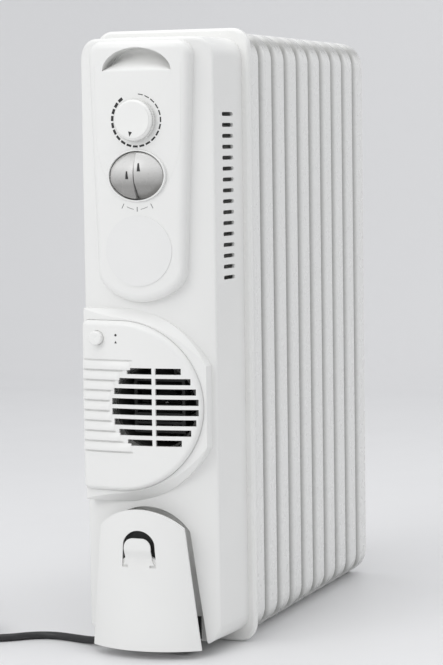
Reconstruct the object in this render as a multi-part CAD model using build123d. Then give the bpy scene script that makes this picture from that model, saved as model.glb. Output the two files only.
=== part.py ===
from build123d import *
import math
import os

# Oil filled radiator heater with a fan, standing on its end plate and fins.
# Millimetres. The frame used while modelling has X to the right seen from the
# front, -Y to the front and Z up, with y = 0 on the front of the end plate.
# Every piece is moved back by body_middle when it is written, which puts the
# origin on the floor under the middle of the heater's body.

# Driving sizes: end plate
plate_width = 160.0
plate_height = 600.0
plate_depth = 7.0
plate_corner = 17.5
plate_bend = 3.0
plate_sheet = 1.5
plate_to_fin = 18.0  # front of the end plate to the web of the first fin

# Driving sizes: radiator
fin_count = 10
fin_pitch = 38.0
fin_width = plate_width - 12.0
fin_height = plate_height - 2.0
fin_depth = 27.0  # from the web to the free edge of the folded rim
fin_corner = 28.0
fin_bend = 9.0
fin_sheet = 1.2
rim_opening = 92.0  # the rim is cut away over this width at top and bottom
channel_width = 22.0
channel_spacing = 36.0
channel_front = 2.5  # how far the oil channels stand in front of the web
channel_back = 6.0
channel_round = 2.4
header_low = 62.0
header_high = fin_height - header_low
header_diameter = 44.0
header_bore = 32.0
collar_end = 17.0  # how far the last fin's collars reach behind its web
cap_thickness = 4.0
cap_rim = 2.0

# Driving sizes: heating elements and filler plug
element_diameter = 8.0
element_spacing = 14.0
element_bend = 6.5
head_hexagon = 27.0  # radius across the corners
head_seal = 11.0  # how far the seal reaches outside the bore
head_reach = 12.0
plug_hexagon = 21.0
plug_seal = 5.0
seal_thickness = 2.0
hexagon_height = 7.0
pin_radius = 1.6
pin_reach = 20.0

# Driving sizes: control housing
housing_back_width = plate_width - 14.0
housing_front_width = housing_back_width - 10.0
housing_nose = 80.0  # how far the middle of the front stands out
housing_bow = 145.0  # radius of the bowed front, seen from above
housing_bottom = 10.0
housing_top = plate_height - 10.0
housing_round = 18.0  # the four corners, seen from the front
housing_edge = 4.0
housing_wall = 2.5
post_radius = 5.0
screw_radius = 1.6
screw_head_radius = 3.6
screw_head_height = 2.2
screw_reach = 15.0
screw_inset = 14.0

# Driving sizes: control panel and its handle recess
panel_nose = 91.0
panel_bow = 230.0
panel_top = housing_top - 3.0
panel_half_top = 52.0
panel_half_low = 44.0
panel_top_corner = 14.0
panel_low_corner = 22.0
panel_edge = 8.0
panel_wall = 2.4
handle_half_width = 35.0
handle_low = panel_top - 29.0
handle_rise = 22.0
handle_reach = 44.0
handle_wall = 2.0
scoop_radius = 46.0
scoop_depth = 8.0
scoop_drop = 3.0

# Driving sizes: thermostat
dial_height = panel_top - 75.0
knob_diameter = 41.0
knob_height = 13.0
knob_gap = 0.8
knob_round = 2.5
knob_ribs = 48
shaft_diameter = 6.0
turning_gap = 0.05  # radial clearance of a shaft that turns in its hole
hole_gap = 1.0  # radial clearance where a piece only passes through
thermostat_width = 30.0
thermostat_depth = 24.0
thermostat_neck = 4.0  # wall of the neck round the shaft

# Driving sizes: the two rocker switches
rocker_height = dial_height - 52.0
rocker_half_width = 27.0
rocker_half_height = 22.2
rocker_gap = 0.6
rocker_crown = 9.0  # how far the domed rockers stand in front of the panel
rocker_round = 31.0  # radius of the dome, seen from the side
rocker_sweep = 45.0  # radius of the dome, seen from above
rocker_skirt = 2.2
rocker_tilt = 7.0
bezel_rim = 2.6
bezel_proud = 1.6
bezel_round = 0.8
axle_diameter = 3.0
axle_depth = 3.0  # the axle's middle is this far behind the panel's face
switch_width = 44.0
switch_height = 36.0
switch_depth = 26.0

# Driving sizes: badge disc and foot of the panel
badge_height = rocker_height - 71.0
badge_radius = 33.5
badge_thickness = 0.7
panel_bottom = badge_height - 49.0
panel_low_line = panel_bottom + 22.0

# Driving sizes: fan cover, the sloped plinth round it, and its grille
cover_nose = 94.0
cover_bow = 260.0
cover_right = housing_front_width / 2 - 7.5
cover_radius = 81.5
cover_middle_x = cover_right - cover_radius
cover_middle = panel_bottom - 99.0
cover_left = 6.0 - housing_front_width / 2
cover_corner = 6.0
cover_edge = 5.0
cover_wall = 2.5
cover_gap = 0.3
plinth_nose = 88.0
plinth_rim = 1.3
plinth_slope = 11.0
plinth_right = cover_right + 2.5
grille_x = cover_right - 46.0
grille_radius = 43.5
louvre_pitch = 9.75
louvre_rows = 8
louvre_open = 6.0
rib_width = 3.4
groove_depth = 1.4
groove_height = 1.6
groove_gap = 3.0

# Driving sizes: fan
duct_gap = 1.5
duct_wall = 2.0
duct_outer = 2 * (cover_right - cover_wall - duct_gap - grille_x)
duct_back = 34.0
duct_ring = 26.0  # radius of the ring of air holes in the duct's back
duct_hole = 9.0
blade_gap = 2.5
impeller_diameter = duct_outer - 2 * duct_wall - 2 * blade_gap
impeller_hub = 28.0
impeller_middle = 49.0
blade_count = 7
blade_width = 18.0
blade_sheet = 2.0
blade_angle = 32.0
motor_diameter = 34.0
motor_length = 26.0
spindle_diameter = 4.0
heater_size = 52.0
heater_front = 78.0
heater_depth = 12.0
heater_slots = 6
heater_slot = 5.8
heater_pitch = 8.2
heater_rim = 3.0
button_x = cover_left + 18.0
button_height = cover_middle + 65.0
button_diameter = 13.5
button_proud = 3.0
button_travel = 3.0
button_gap = 0.3
button_back = 70.0
button_round = 1.6

# Driving sizes: side vents
vent_count = 16
vent_pitch = 10.37
vent_top = dial_height + 5.0
vent_front = 45.5
vent_back = 21.0
vent_height = 3.8

# Driving sizes: cord store at the foot
pocket_top = 144.0
pocket_half_top = 42.0
pocket_half_low = 59.0
pocket_shoulder = 120.0
pocket_back = 50.0  # the pocket's back wall stands this far in front of y = 0
store_nose = 103.0
store_bow = 92.0
store_top = 144.0
store_bottom = 8.0
store_half_top = 43.0
store_shoulder = 126.0
store_half_low = 55.5
store_sheet = 2.2
store_notch = 34.0
notch_height = 5.0
clip_half_width = 17.5
clip_low = 92.0
clip_high = 124.0
hub_width = 44.0
hub_height = 46.0
hub_middle = 76.0
hub_corner = 14.0
hub_sheet = 2.5

# Driving sizes: mains lead and its gland
cord_diameter = 7.5
gland_y = -66.0
gland_height = 15.0
gland_mouth_x = -2.0
gland_length = 26.0
gland_flange = 22.0
gland_wall = 1.65
gland_x = gland_mouth_x + gland_length + 8.0
notch_radius = 13.0
coil_outer_turn = 41.25
coil_inner_turn = coil_outer_turn - cord_diameter
coil_layers = 3
relief_length = 24.0
shoulder_length = 18.0
barrel_length = 28.0
plug_radius = 18.2
pin_spacing = 19.0
plug_pin_radius = 2.4
plug_pin_length = 27.0
plug_pin_seat = 8.0
tie_sheet = 0.6
tie_width = 10.0

radiator_end = plate_to_fin + (fin_count - 1) * fin_pitch + fin_depth
body_front = panel_nose + knob_gap + knob_height
body_middle = (radiator_end - body_front) / 2
far = 200.0  # well outside the heater, for cuts that go right through


def save(part, name):
    """Writes one node, moved into the heater's own frame."""
    write(Pos(0, -body_middle, 0) * part, name)


def write(part, name):
    """Writes one node that is already in the heater's own frame."""
    solids = part.solids()
    shape = solids[0] if len(solids) == 1 else Compound(children=list(solids))
    export_step(shape, f"parts/{name}.step")


def along_y(sketch, front, back):
    """A sketch drawn in X and Z, as a prism from y = front to y = back."""
    return extrude(Plane.XZ.offset(-back) * sketch, amount=back - front)


def rod_y(radius, front, back, x=0.0, z=0.0):
    return along_y(Pos(x, z) * Circle(radius), front, back)


def rod_x(radius, left, right, y=0.0, z=0.0):
    return extrude(Plane.YZ.offset(left) * Pos(y, z) * Circle(radius), amount=right - left)


def block(x0, x1, y0, y1, z0, z1):
    return Pos((x0 + x1) / 2, (y0 + y1) / 2, (z0 + z1) / 2) * Box(x1 - x0, y1 - y0, z1 - z0)


def bowed(nose, radius, half=100.0):
    """Everything behind a bowed surface whose middle stands at y = -nose."""
    half = min(half, radius - 1)
    back = radius - math.sqrt(radius**2 - half**2) - nose
    outline = Polyline((-half, back), (-half, far), (half, far), (half, back))
    outline += ThreePointArc((half, back), (0, -nose), (-half, back))
    return extrude(Plane.XY.offset(-far) * make_face(outline), amount=plate_height + 2 * far)


def surface_y(nose, radius, x):
    """Where a bowed surface stands at x."""
    return radius - math.sqrt(radius**2 - x**2) - nose


# Radiator


def pan(width, height, corner, depth, bend, sheet):
    """A pressed sheet with a rim folded back all round; its front is y = 0."""
    middle = height / 2
    outer = along_y(Pos(0, middle) * RectangleRounded(width, height, corner), 0, depth)
    outer = fillet(outer.faces().sort_by(Axis.Y)[0].edges(), bend)
    hollow = Pos(0, middle) * RectangleRounded(width - 2 * sheet, height - 2 * sheet, corner - sheet)
    inner = along_y(hollow, sheet, depth + sheet)
    inner = fillet(inner.faces().sort_by(Axis.Y)[0].edges(), bend - sheet)
    return outer - inner


def header_rods(radius, front, back):
    """Two round rods along the lower and the upper header."""
    low, high = [rod_y(radius, front, back, 0, z) for z in (header_low, header_high)]
    return low + high


def fin():
    """One oil filled fin: web, folded rim, oil channels and the bosses of its headers."""
    body = pan(fin_width, fin_height, fin_corner, fin_depth, fin_bend, fin_sheet)
    half = rim_opening / 2
    edge = fin_bend + 1
    for low, high in ((-1, edge), (fin_height - edge, fin_height + 1)):
        body -= block(-half, half, edge, fin_depth + 1, low, high)
    middle = (header_high + header_low) / 2
    channel = Rotation(0, 0, 90) * SlotCenterToCenter(header_high - header_low, channel_width)
    ladder = Sketch()
    for side in (-1, 0, 1):
        ladder += Pos(side * channel_spacing, middle) * channel
    for z in (header_low, header_high):
        ladder += Pos(0, z) * SlotCenterToCenter(2 * channel_spacing, header_diameter)
    channels = along_y(ladder, -channel_front, channel_back)
    channels = fillet(channels.faces().sort_by(Axis.Y)[-1].edges(), channel_round)
    channels = fillet(channels.faces().sort_by(Axis.Y)[0].edges(), channel_round)
    return body + channels


def make_fins():
    blank = fin()
    bore = header_rods(header_bore / 2, -fin_pitch, 2 * fin_pitch)
    inner = blank + header_rods(header_diameter / 2, 0, fin_pitch - channel_front) - bore
    last = blank + header_rods(header_diameter / 2, 0, collar_end) - bore
    for number in range(1, fin_count + 1):
        web = plate_to_fin + (number - 1) * fin_pitch
        save(Pos(0, web, 0) * (last if number == fin_count else inner), f"fin_{number:02d}")
    front = header_rods(header_diameter / 2, plate_sheet, plate_to_fin - channel_front)
    save(front - bore, "front_collars")
    rear = plate_to_fin + (fin_count - 1) * fin_pitch + collar_end
    caps = header_rods(header_bore / 2, rear - cap_thickness, rear)
    caps += header_rods(header_diameter / 2 - cap_rim, rear, rear + cap_rim)
    save(caps, "rear_header_caps")


def screw_places():
    x = housing_back_width / 2 - screw_inset
    return [(side * x, z) for side in (-1, 1) for z in (pocket_top + 26, housing_top - 24)]


def make_end_plate():
    plate = pan(plate_width, plate_height, plate_corner, plate_depth, plate_bend, plate_sheet)
    plate -= header_rods(header_bore / 2, -far, far)
    for x, z in screw_places():
        plate -= rod_y(screw_radius + hole_gap, -far, far, x, z)
    save(plate, "end_plate")


def seal(radius, thickness, z):
    return rod_y(radius, -thickness, 0, 0, z) - rod_y(header_bore / 2, -thickness, 0, 0, z)


def make_elements():
    """Threaded head with two U-shaped tubular elements, and the filler plug."""
    top = -seal_thickness
    hexagon = Pos(0, header_low) * RegularPolygon(head_hexagon, 6)
    head = rod_y(header_bore / 2, top, head_reach, 0, header_low)
    head += along_y(hexagon, top - hexagon_height, top)
    start = 2 * head_reach / 3
    end = plate_to_fin + (fin_count - 2) * fin_pitch
    low, high = header_low - element_bend, header_low + element_bend
    tubes = Part()
    pins = Part()
    for x in (-element_spacing / 2, element_spacing / 2):
        line = Polyline((x, start, low), (x, end, low))
        path = line + ThreePointArc((x, end, low), (x, end + element_bend, header_low), (x, end, high))
        path += Line((x, end, high), (x, start, high))
        section = Plane(origin=(x, start, low), z_dir=(0, 1, 0)) * Circle(element_diameter / 2)
        tubes += sweep(section, path=path)
        for z in (low, high):
            head -= rod_y(element_diameter / 2, -far, far, x, z)
            pins += rod_y(element_diameter / 2, top, start, x, z)
            pins += rod_y(pin_radius, top - pin_reach, top, x, z)
    save(tubes + pins, "heating_elements")
    save(head, "element_head")
    save(seal(header_bore / 2 + head_seal, seal_thickness, header_low), "element_gasket")
    plug = rod_y(header_bore / 2, top, head_reach, 0, header_high)
    plug += along_y(Pos(0, header_high) * RegularPolygon(plug_hexagon, 6), top - hexagon_height, top)
    save(plug, "filler_plug")
    save(seal(header_bore / 2 + plug_seal, seal_thickness, header_high), "filler_gasket")


# Control housing


def housing_body(inset):
    """The housing's outer or inner shape, closed, inset by a wall."""
    half_back = housing_back_width / 2 - inset
    half_front = housing_front_width / 2 - inset
    radius = housing_bow - inset
    nose = housing_nose - inset
    side = surface_y(nose, radius, half_front)
    height = housing_top - housing_bottom - 2 * inset
    outline = Polyline((-half_front, side), (-half_back, 0), (half_back, 0), (half_front, side))
    outline += ThreePointArc((half_front, side), (0, -nose), (-half_front, side))
    body = extrude(Plane.XY.offset(housing_bottom + inset) * make_face(outline), amount=height)
    middle = Pos(0, (housing_top + housing_bottom) / 2)
    back = middle * RectangleRounded(2 * half_back, height, housing_round - inset)
    front = middle * RectangleRounded(2 * half_front, height, housing_round - inset)
    rounded = loft([Plane.XZ * back, Plane.XZ.offset(-side) * front])
    body &= rounded + along_y(front, -nose - 1, side)
    bow = body.faces().filter_by(GeomType.CYLINDER).sort_by(SortBy.AREA)[-1]
    return fillet(bow.edges(), housing_edge - inset)


def arch(half_top, half_low, shoulder, top, low):
    """A tall arch: straight sides that close in upwards, and a round head."""
    outline = Polyline((-half_top, shoulder), (-half_low, low), (half_low, low), (half_top, shoulder))
    outline += ThreePointArc((half_top, shoulder), (0, top), (-half_top, shoulder))
    return make_face(outline)


def pocket_sketch(spread):
    """The pocket's outline, which runs out through the housing's bottom."""
    return arch(
        pocket_half_top + spread, pocket_half_low + spread, pocket_shoulder, pocket_top + spread, -housing_bottom
    )


def handle_sketch(spread=0.0):
    """The finger opening: flat below, half an ellipse above."""
    half = Pos(0, handle_low) * Ellipse(handle_half_width + spread, handle_rise + spread)
    keep = Pos(0, handle_low + far / 2 - spread) * Rectangle(far, far)
    return half & keep


def vents():
    cut = Part()
    for row in range(vent_count):
        z = vent_top - row * vent_pitch
        slot = Pos(-(vent_front + vent_back) / 2, z) * SlotOverall(vent_front - vent_back, vent_height)
        cut += extrude(Plane.YZ.offset(-far / 2) * slot, amount=far)
    return cut


def plinth():
    """The sloped flank round the fan cover: a D with a bevelled rim and straight sides behind it."""
    x, z = cover_middle_x, cover_middle
    top = cover_radius + plinth_rim
    foot = cover_radius + plinth_slope
    upright = Plane(origin=(0, 0, 0), x_dir=(0, 0, 1), z_dir=(-1, 0, 0))
    half = Polyline((0, -plinth_nose), (top, -plinth_nose), (foot, -housing_nose), (foot, 0), (0, 0), (0, -plinth_nose))
    disc = revolve(upright * make_face(half), axis=Axis.Y, revolution_arc=180)
    whole = Polyline(
        (-top, -plinth_nose), (top, -plinth_nose), (foot, -housing_nose), (foot, 0),
        (-foot, 0), (-foot, -housing_nose), (-top, -plinth_nose),
    )
    bar = extrude(upright * make_face(whole), amount=x - cover_left)
    keep = block(cover_left, plinth_right, -far, 0, 0, 2 * plate_height)
    return Pos(x, 0, z) * (disc + bar) & keep


def make_housing():
    outer = housing_body(0)
    wall = housing_wall
    shell = outer - housing_body(wall)
    # the lining of the cord store's pocket
    shell += along_y(pocket_sketch(wall), -far, -pocket_back + wall) & outer
    flank = plinth() & bowed(plinth_nose, cover_bow)
    shell += flank - outer
    shell -= along_y(cover_sketch(cover_gap), -far, 0) - outer
    shell -= along_y(pocket_sketch(0), -far, -pocket_back)
    shell -= vents()
    # openings behind the control panel and the fan cover
    shell -= along_y(handle_sketch(handle_wall + hole_gap), -far, -handle_wall - wall)
    switch = Pos(0, rocker_height) * Rectangle(switch_width + hole_gap, switch_height + hole_gap)
    shell -= along_y(switch, -far, -pocket_back)
    shell -= rod_y(shaft_diameter / 2 + thermostat_neck + hole_gap, -far, -pocket_back, 0, dial_height)
    shell -= rod_y(duct_outer / 2 + hole_gap / 2, -far, -pocket_back, grille_x, cover_middle)
    shell -= rod_y(button_diameter / 2 + 2 * hole_gap, -far, -pocket_back, button_x, button_height)
    shell -= rod_y(gland_flange / 2 - 3 * hole_gap, -far, -housing_wall, gland_x, gland_height + 8) & block(
        -far, far, -pocket_back - hole_gap, -far / 10, 0, far
    )
    # the lead leaves under the left wall through a small arch
    left = housing_back_width / 2 + 10
    shell -= rod_x(notch_radius, -left, 6 - pocket_half_low, gland_y + 4, housing_bottom)
    for x, z in screw_places():
        shell += rod_y(post_radius, -housing_nose, 0, x, z) & outer
        shell -= rod_y(screw_radius, -screw_reach - 1, far, x, z)
    save(shell, "housing")
    screws = Part()
    for x, z in screw_places():
        screws += rod_y(screw_radius, -screw_reach, plate_sheet, x, z)
        screws += rod_y(screw_head_radius, plate_sheet, plate_sheet + screw_head_height, x, z)
    save(screws, "housing_screws")


def panel_sketch(spread=0.0):
    top = panel_top + spread
    a, b = panel_half_top + spread, panel_half_low + spread
    low = panel_low_line
    outline = Polyline((-b, low), (-a, top), (a, top), (b, low))
    outline += ThreePointArc((b, low), (0, panel_bottom - spread), (-b, low))
    face = make_face(outline)
    face = fillet(face.vertices().sort_by(Axis.Y)[-2:], panel_top_corner + spread)
    lower = [v for v in face.vertices() if abs(v.Y - low) < 0.01]
    return fillet(lower, panel_low_corner + spread)


def make_panel():
    outer = along_y(panel_sketch(), -far, -pocket_back) & bowed(panel_nose, panel_bow)
    front = outer.faces().filter_by(GeomType.CYLINDER).sort_by(SortBy.AREA)[-1]
    outer = fillet(front.edges(), panel_edge)
    inner = along_y(panel_sketch(-panel_wall), -far, -pocket_back)
    inner &= bowed(panel_nose - panel_wall, panel_bow - panel_wall)
    shell = outer - inner
    cup = along_y(handle_sketch(handle_wall), -far, -panel_nose + handle_reach + handle_wall)
    shell += cup & bowed(panel_nose - panel_wall / 4, panel_bow - panel_wall / 4)
    # a round dish leads down into the finger opening
    middle = Pos(0, -panel_nose - scoop_radius + scoop_depth, handle_low - scoop_drop)
    below = outer - block(-far, far, -far, 0, handle_low + handle_wall, 2 * plate_height)
    shell += middle * Sphere(scoop_radius + panel_wall) & below
    shell -= along_y(handle_sketch(), -far, -panel_nose + handle_reach)
    shell -= middle * Sphere(scoop_radius)
    shell -= housing_body(0) - along_y(handle_sketch(handle_wall), -far, -housing_wall)
    oval = Ellipse(rocker_half_width + bezel_rim, rocker_half_height + bezel_rim)
    shell -= along_y(Pos(0, rocker_height) * oval, -far, -housing_nose)
    shell -= rod_y(shaft_diameter / 2 + hole_gap, -far, 0, 0, dial_height)
    save(shell, "control_panel")
    badge = rod_y(badge_radius, -far, -housing_nose, 0, badge_height)
    badge &= bowed(panel_nose + badge_thickness, panel_bow + badge_thickness)
    badge -= bowed(panel_nose, panel_bow)
    save(badge, "badge_disc")


def make_thermostat():
    front = 2 + housing_wall - housing_nose
    half = thermostat_width / 2
    body = block(-half, half, front, front + thermostat_depth, dial_height - half, dial_height + half)
    body += rod_y(shaft_diameter / 2 + thermostat_neck, front - 6, front, 0, dial_height)
    body -= rod_y(shaft_diameter / 2 + turning_gap, -far, front + thermostat_depth / 2, 0, dial_height)
    save(body, "thermostat")
    base = -panel_nose - knob_gap
    seat = knob_height - 5
    shaft = rod_y(shaft_diameter / 2, base - seat, front + thermostat_depth / 2 - 1, 0, dial_height)
    save(shaft, "thermostat_shaft")
    knob = rod_y(knob_diameter / 2, base - knob_height, base, 0, dial_height)
    knob = fillet(knob.faces().sort_by(Axis.Y)[0].edges(), knob_round)
    rim = knob_diameter / 2 + 0.25
    for number in range(knob_ribs):
        angle = 2 * math.pi * number / knob_ribs
        x, z = rim * math.cos(angle), dial_height + rim * math.sin(angle)
        knob -= rod_y(0.7, base - knob_height + knob_round + 1, base - 1.5, x, z)
    knob -= rod_y(shaft_diameter / 2, base - seat, far, 0, dial_height)
    skirt = rod_y(knob_diameter / 2 - 3, base - 3, far, 0, dial_height)
    knob -= skirt - rod_y(shaft_diameter / 2 + 3, base - 3, far, 0, dial_height)
    save(knob, "thermostat_knob")


def rocker_dome():
    """A barrel lying along X, whose front bulges out of the oval."""
    x = rocker_half_width + 1
    low = rocker_round - rocker_sweep + math.sqrt(rocker_sweep**2 - x**2)
    outline = Polyline((x, low), (x, 0), (-x, 0), (-x, low))
    outline += ThreePointArc((-x, low), (0, rocker_round), (x, low))
    centre = rocker_round - panel_nose - rocker_crown
    barrel = revolve(make_face(outline), axis=Axis.X)
    return Pos(0, centre, rocker_height) * barrel


def make_switches():
    """Oval bezel with two domed rockers side by side on one axle."""
    face = panel_nose + bezel_proud
    rim = bezel_rim - turning_gap
    outer = Ellipse(rocker_half_width + rim, rocker_half_height + rim)
    hole = Ellipse(rocker_half_width + hole_gap, rocker_half_height + hole_gap)
    seat = -housing_nose - 0.4
    middle = Pos(0, rocker_height)
    ring = along_y(middle * outer, -face, seat)
    ring = fillet(ring.faces().sort_by(Axis.Y)[0].edges(), bezel_round)
    ring -= along_y(middle * hole, -far, seat - 2)
    ring += along_y(middle * Rectangle(switch_width, switch_height), seat, seat + switch_depth)
    pivot = axle_depth - panel_nose
    end = rocker_half_width + 1.8
    axle = rod_x(axle_diameter / 2, -end, end, pivot, rocker_height)
    save(ring - axle, "switch_bezel")
    save(axle, "rocker_axle")
    turning = rod_x(axle_diameter / 2 + turning_gap, -far, far, pivot, rocker_height)
    for name, side, tilt in (("left_rocker", -1, -1), ("right_rocker", 1, 1)):
        half = Ellipse(rocker_half_width, rocker_half_height)
        half &= Pos(side * (rocker_gap / 2 + far / 2), 0) * Rectangle(far, far)
        rocker = along_y(middle * half, -far, pivot + rocker_skirt) & rocker_dome()
        rocker -= turning
        rocker = rocker.rotate(Axis((0, pivot, rocker_height), (1, 0, 0)), tilt * rocker_tilt)
        save(rocker, name)


# Fan


def cover_sketch(spread=0.0):
    radius = cover_radius + spread
    x, z = cover_middle_x, cover_middle
    left = cover_left - spread
    outline = Polyline((x, z + radius), (left, z + radius), (left, z - radius), (x, z - radius))
    outline += ThreePointArc((x, z - radius), (x + radius, z), (x, z + radius))
    face = make_face(outline)
    return fillet(face.vertices().sort_by(Axis.X)[:2], cover_corner + spread)


def louvre_places():
    """Height and half width of each open row of the grille."""
    rows = []
    for number in range(louvre_rows):
        offset = (number - (louvre_rows - 1) / 2) * louvre_pitch
        rows.append((cover_middle + offset, math.sqrt(grille_radius**2 - offset**2)))
    return rows


def make_cover():
    outer = along_y(cover_sketch(), -far, -pocket_back) & bowed(cover_nose, cover_bow)
    front = outer.faces().filter_by(GeomType.CYLINDER).sort_by(SortBy.AREA)[-1]
    outer = fillet(front.edges(), cover_edge)
    inner = along_y(cover_sketch(-cover_wall), -far, -pocket_back)
    inner &= bowed(cover_nose - cover_wall, cover_bow - cover_wall)
    shell = outer - inner - housing_body(0)
    behind = -cover_nose + 4 * cover_wall
    for z, half in louvre_places():
        low, high = z - louvre_open / 2, z + louvre_open / 2
        shell -= block(grille_x - half, grille_x - rib_width / 2, -far, behind, low, high)
        shell -= block(grille_x + rib_width / 2, grille_x + half, -far, behind, low, high)
    bottom = bowed(cover_nose - groove_depth, cover_bow - groove_depth)
    for number in range(louvre_rows + 2):
        offset = (number - (louvre_rows + 1) / 2) * louvre_pitch
        reach = math.sqrt(max((grille_radius + groove_gap) ** 2 - offset**2, (grille_radius / 2) ** 2))
        z = cover_middle + offset
        low, high = z - groove_height / 2, z + groove_height / 2
        shell -= block(-far, grille_x - reach, -far, 0, low, high) - bottom
    shell -= rod_y(button_diameter / 2 + button_gap, -far, -button_back, button_x, button_height)
    save(shell, "fan_cover")


def make_fan():
    x, z = grille_x, cover_middle
    front = surface_y(cover_nose - cover_wall, cover_bow - cover_wall, x + duct_outer / 2) + 1
    duct = rod_y(duct_outer / 2, front, -duct_back, x, z)
    duct -= rod_y(duct_outer / 2 - duct_wall, -far, -duct_back - duct_wall, x, z)
    for number in range(6):
        angle = math.radians(30 + 60 * number)
        duct -= rod_y(duct_hole, -far, far, x + duct_ring * math.cos(angle), z + duct_ring * math.sin(angle))
    duct -= rod_y(spindle_diameter / 2 + hole_gap, -far, far, x, z)
    save(duct, "fan_duct")
    end = motor_length - duct_back
    motor = rod_y(motor_diameter / 2, -duct_back, end, x, z)
    motor -= rod_y(spindle_diameter / 2 + turning_gap, -far, end - 6, x, z)
    save(motor, "fan_motor")
    middle = impeller_middle
    save(rod_y(spindle_diameter / 2, -middle - 11, end - 7, x, z), "fan_spindle")
    wheel = rod_y(impeller_hub / 2, -middle - blade_width / 2, -middle + blade_width / 2, x, z)
    half_sheet = blade_sheet / 2
    half_blade = blade_width / 2
    blade = block(impeller_hub / 2 - 4, impeller_diameter / 2, -half_sheet, half_sheet, -half_blade, half_blade)
    for number in range(blade_count):
        turn = Rotation(0, 360 * number / blade_count, 0) * Rotation(blade_angle, 0, 0)
        wheel += Pos(x, -middle, z) * turn * blade
    save(wheel - rod_y(spindle_diameter / 2, -far, far, x, z), "fan_impeller")
    heater = along_y(Pos(x, z) * Rectangle(heater_size, heater_size), -heater_front, heater_depth - heater_front)
    reach = heater_size / 2 - heater_rim
    for row in range(heater_slots):
        level = z + (row - (heater_slots - 1) / 2) * heater_pitch
        heater -= block(x - reach, x + reach, -far, 0, level - heater_slot / 2, level + heater_slot / 2)
    save(heater, "fan_heater")
    x, z = button_x, button_height
    button = rod_y(button_diameter / 2, -cover_nose - button_proud, -button_back, x, z)
    button = fillet(button.faces().sort_by(Axis.Y)[0].edges(), button_round)
    save(button, "fan_button")
    front = button_travel + 0.5 - button_back
    save(block(x - 9, x + 9, front, -48, z - 9, z + 9), "fan_switch")


# Cord store


def make_store():
    outline = arch(store_half_top, store_half_low, store_shoulder, store_top, store_bottom)
    inside = bowed(store_nose - store_sheet, store_bow - store_sheet)
    plate = (along_y(outline, -far, -pocket_back + 10) & bowed(store_nose, store_bow)) - inside
    for side in (-1, 1):
        plate -= Pos(side * (store_half_low + 1), -store_nose, store_notch) * Box(4, far, notch_height)
    # the clip: a cut-out with a tongue left standing in it
    cut = arch(clip_half_width - 1.5, clip_half_width, clip_high - 12, clip_high, clip_low)
    tongue = arch(clip_half_width - 8, clip_half_width - 2, clip_high - 20, clip_high - 8, clip_low - 1)
    plate -= along_y(cut, -far, -housing_nose + 20) - along_y(tongue, -far, 0)
    for side in (-1, 1):
        near, edge = side * (clip_half_width - 6.5), side * clip_half_width
        plate -= block(min(near, edge), max(near, edge), -far, -pocket_back, clip_low - 3.5, clip_low - 1)
        edge = side * (clip_half_width - 1)
        plate -= block(edge - 1, edge + 1, -far, -pocket_back, clip_low - 2, clip_low + 2)
    save(plate, "cord_plate")
    hub = Pos(0, hub_middle) * RectangleRounded(hub_width, hub_height, hub_corner)
    hollow = RectangleRounded(hub_width - 2 * hub_sheet, hub_height - 2 * hub_sheet, hub_corner - hub_sheet)
    neck = along_y(hub, -far, -pocket_back) & inside
    cavity = along_y(Pos(0, hub_middle) * hollow, -far, -pocket_back - hub_sheet)
    cavity &= bowed(store_nose - store_sheet - hub_sheet, store_bow - store_sheet - hub_sheet)
    save(neck - cavity, "cord_hub")


def make_gland():
    """Right-angle strain relief: flange on the pocket's back wall, mouth to the left."""
    x, z = gland_x, gland_height + 8
    mouth = cord_diameter / 2 + gland_wall
    root = mouth + 2
    flange = along_y(Pos(x, z) * Rectangle(gland_flange, gland_flange), -pocket_back - 3, -pocket_back)
    elbow = block(x - 9, x + 9, gland_y - 8, -pocket_back - 2, z - 16, z + 4)
    elbow = fillet(elbow.edges().filter_by(Axis.Z), 3)
    sleeve = Plane(origin=(x - 8, gland_y, gland_height), z_dir=(-1, 0, 0)) * Pos(0, 0, gland_length / 2)
    tail = rod_y(gland_flange / 2 - 3.2, -pocket_back - 2.5, -pocket_back + 9, x, z)
    gland = flange + elbow + sleeve * Cone(root, mouth, gland_length) + tail
    gland -= rod_x(cord_diameter / 2, gland_mouth_x - 5, gland_mouth_x + 18, gland_y, gland_height)
    save(gland, "cord_gland")


# Inner parts


def make_inner_parts():
    x, z = -44.0, 128.0
    base = block(x - 16, x + 16, -18, -4, z - 10, z + 10)
    screws = Part()
    for number in (-1, 0, 1):
        base -= rod_y(2.6, -30, -9, x + 10 * number, z)
        screws += rod_y(2.5, -13, -9, x + 10 * number, z)
    save(base, "terminal_block")
    save(screws, "terminal_screws")
    z = dial_height - 62
    save(rod_y(8, -9, -1, 0, z) + block(-12, 12, -1, 0, z - 6, z + 6), "thermal_cutout")
    # tip-over switch: a hanging weight in a small case
    x, z = 40.0, 128.0
    pivot_y, pivot_z = -15.0, z + 8
    case = block(x - 13, x + 13, -26, -4, z - 20, z + 16)
    case -= block(x - 11, x + 11, -24, -6, z - 18, z + 14)
    case -= block(x - 11, x + 11, -30, -20, z - 18, z + 14)
    pin = rod_x(1.5, x - 13, x + 13, pivot_y, pivot_z)
    save(case - pin, "tip_switch_case")
    save(pin, "tip_switch_pin")
    weight = block(x - 3, x + 3, pivot_y - 2, pivot_y + 2, z - 4, pivot_z + 3)
    weight += Pos(x, pivot_y, z - 7) * Cylinder(5, 9)
    weight -= rod_x(1.5 + turning_gap, x - 20, x + 20, pivot_y, pivot_z)
    save(weight, "tip_switch_weight")


# Mains lead, in the heater's own frame: it lies on the floor to the left

cord_route = [
    (-2, -207, 15),
    (-22, -207, 15),
    (-44, -205, 9),
    (-68, -198, 4.3),
    (-94, -188.5, 3.75),
    (-112, -184.2, 3.75),
    (-128, -186.3, 3.75),
    (-141.5, -193.0, 3.75),
    (-153, -204.5, 3.75),
    (-170, -215.0, 3.75),
    (-191, -224.8, 3.75),
    (-211.3, -234.6, 3.75),
]


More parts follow.
